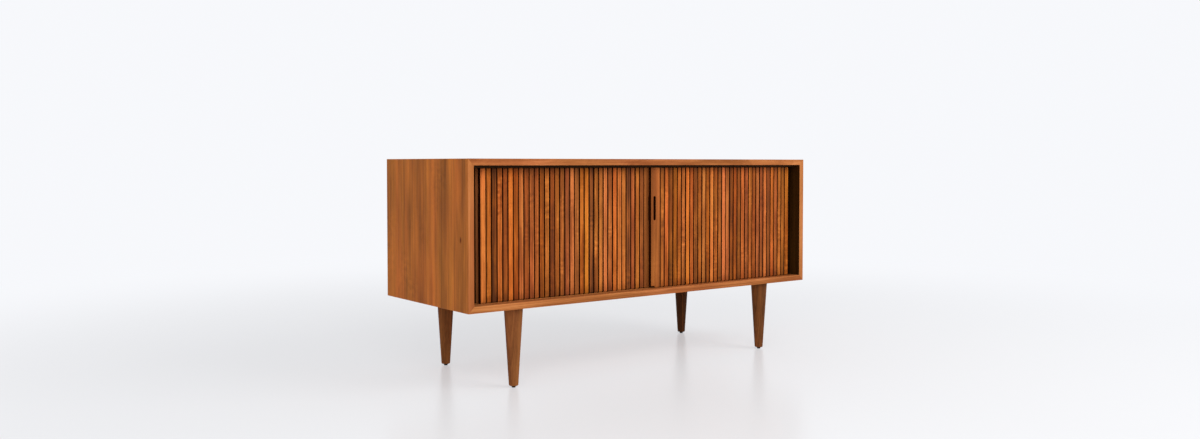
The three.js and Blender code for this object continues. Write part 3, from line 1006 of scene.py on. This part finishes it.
# Behind the slats of each door is one sheet of dark cotton canvas that they are glued to, the hinge
# of every joint between them. It runs on behind the edge of the stile, and stops short of the tail
# and of the slats' ends.
canvas_thickness = 0.0008
canvas_margin = 0.008
canvas_tail_margin = 0.002
thread_pitch = 0.0011
slub_lumps = (90, 90, 900)
canvas_contrast = 0.6
canvas_roughness = 0.9
canvas_colours = [screen_colour(22, 16, 12), screen_colour(58, 46, 38)]
tail_x = {"left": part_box("left_tambour")[0].x, "right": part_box("right_tambour")[1].x}


def canvas_look(tree, point):
    """Crossing threads with thicker and thinner places."""
    apart = node(tree, "SeparateXYZ", {0: point}).outputs
    threads = []
    for axis in ("X", "Z"):
        turns = maths(tree, "MULTIPLY", apart[axis], math.pi / thread_pitch)
        threads.append(maths(tree, "ABSOLUTE", maths(tree, "SINE", turns)))
    woven = maths(tree, "MULTIPLY", *threads)
    slubs = noise(tree, point, slub_lumps, detail=2)
    shade = maths(tree, "MULTIPLY", maths(tree, "ADD", woven, slubs), canvas_contrast, clamp=True)
    return mix_colours(tree, shade, *canvas_colours), canvas_roughness, woven


def door_canvas(side, near_x, far_x, back_y):
    """The canvas between two places along X, in as many strips as plain slats, and its flat size."""
    near_x += side * (lead_width - canvas_margin)
    far_x -= side * canvas_tail_margin
    low = Vector((min(near_x, far_x), back_y, slat_low + canvas_margin))
    high = Vector((max(near_x, far_x), back_y, slat_high - canvas_margin))
    bm = bmesh.new()
    bmesh.ops.create_grid(bm, x_segments=plain_slats, y_segments=1, size=0.5)
    size = high - low
    flat = Matrix.LocRotScale((low + high) / 2, None, (size.x, 1, size.z))
    upright = Matrix.Rotation(math.pi / 2, 4, "X")
    bmesh.ops.transform(bm, matrix=flat @ upright, verts=bm.verts)
    bmesh.ops.solidify(bm, geom=bm.faces[:], thickness=canvas_thickness)
    bmesh.ops.recalc_face_normals(bm, faces=bm.faces)
    return bm, (size.x, size.z)


canvas_cloth = plain_finish("dark_canvas", canvas_look, relief=0.6)
for door, side in door_sides.items():
    back_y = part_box(f"{door}_tambour")[1].y
    bm, flat = door_canvas(side, lead_x[door], tail_x[door], back_y)
    finishes = [canvas_cloth]
    canvas = piece(f"{door}_canvas", bm, finishes, f"{door}_door", "canvas", f"{door}_tambour")

# Each door leads with a stile and a strip of walnut, glued together. A slot to pull it by is cut
# across their seam. Their faces are oiled, and their edges and the slot carry the painted shade of the
# slats' gaps.
lead_arris = 0.0005
lead_shaded_from = 0.5
lead_colours = [(104, 56, 26), (148, 82, 38), (188, 108, 52)]
lead_looks = {"pith": (0.04, 0.2, 0), "bands": 0.6, "cut": (0.2, 0.8, 0.6)}
for part, tone in (("lead_stile", -0.27), ("lead_strip", -0.12)):
    lead_finish = walnut_finish(f"{part}_walnut", lead_colours, tone=tone, **lead_looks)
    for door in door_sides:
        node_name = f"{door}_{part}"
        bm = copied(node_name)
        ease(bm, lead_arris)
        for face in bm.faces:
            face.material_index = int(abs(face.normal.y) < lead_shaded_from)
        finishes = [lead_finish, painted_gap_shade]
        piece(f"{node_name}_wood", bm, finishes, f"{door}_door", "slat_walnut", node_name)

# The legs are turned from solid walnut, a little darker than the case: a straight taper with a
# rounded foot. Each hangs on a steel bolt that screws into a brass insert in the bottom board.
leg_facets = 96
leg_top_chamfer = 0.001
leg_foot_radius = 0.014
leg_foot_rounding = 0.004
rounding_steps = 6
leg_pith = Vector((0.05, 0.03, 0))
next_leg_pith = Vector((0, -0.02, 0))
next_leg_up = 0.7
leg_colours = [(74, 44, 24), (126, 75, 40), (152, 94, 52)]
# The right and back legs get darker tones as painted shade where the case shades them; the rest is
# tone that differs at random.
leg_tones_and_shade = {"front_left": 0.03, "front_right": -0.30, "back_left": -0.06, "back_right": -0.62}


def rounded_foot(foot_radius, low_z, rounding):
    """The profile of a round foot, from its middle out over its rounded rim."""
    profile = [(0, low_z)]
    for step in range(rounding_steps + 1):
        angle = step / rounding_steps * math.pi / 2
        out = foot_radius - rounding * (1 - math.sin(angle))
        up = low_z + rounding * (1 - math.cos(angle))
        profile.append((out, up))
    return profile


for number, (place_name, leg_tone_and_shade) in enumerate(leg_tones_and_shade.items()):
    low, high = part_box(f"leg_{place_name}")
    top_radius = (high.x - low.x) / 2
    profile = rounded_foot(leg_foot_radius, low.z, leg_foot_rounding) + [
        (top_radius, high.z - leg_top_chamfer),
        (top_radius - leg_top_chamfer, high.z),
        (0, high.z),
    ]
    foot = (low + high) / 2
    foot.z = 0
    bm = spun(profile, foot, (0, 0, 1), leg_facets)
    finish = walnut_finish(
        f"leg_walnut_{place_name}",
        leg_colours,
        pith=leg_pith + next_leg_pith * number,
        ring_count=210,
        waver=0.012,
        tone=leg_tone_and_shade,
        cut=(-foot.x, -foot.y, number * next_leg_up),
    )
    piece(f"{place_name}_leg", bm, [finish], "case", "leg_walnut", f"leg_{place_name}")
    refinish(f"leg_bolt_{place_name}", zinc)
    refinish(f"leg_insert_{place_name}", brass)

# Under each leg is a black nylon glide, moulded round a nail that is driven up into the foot. Its
# rim is rounded, and the floor has scuffed it grey.
glide_facets = 64
glide_rounding = 0.0015
nail_radius = 0.002
glide_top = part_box("leg_front_left")[0].z
nylon_dark = screen_colour(9, 8, 8)
nylon_worn = screen_colour(26, 23, 22)
scuff_lumps = (500, 500, 900)
nylon_smoothest = 0.5
scuff_roughness = 0.3


def nylon_look(tree, point):
    """Black nylon, scuffed grey."""
    scuffs = noise(tree, point, scuff_lumps, detail=3)
    roughness = maths(tree, "MULTIPLY_ADD", scuffs, scuff_roughness, nylon_smoothest)
    return mix_colours(tree, scuffs, nylon_dark, nylon_worn), roughness, scuffs


nylon = plain_finish("black_nylon", nylon_look, relief=0.1, reflection=0.1)
for place_name in leg_tones_and_shade:
    low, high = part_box(f"glide_{place_name}")
    glide_radius = (high.x - low.x) / 2
    profile = rounded_foot(glide_radius, low.z, glide_rounding) + [
        (glide_radius, glide_top),
        (nail_radius, glide_top),
        (nail_radius, high.z),
        (0, high.z),
    ]
    foot = (low + high) / 2
    foot.z = 0
    bm = spun(profile, foot, (0, 0, 1), glide_facets)
    piece(f"{place_name}_glide", bm, [nylon], "case", "black_nylon", f"glide_{place_name}")
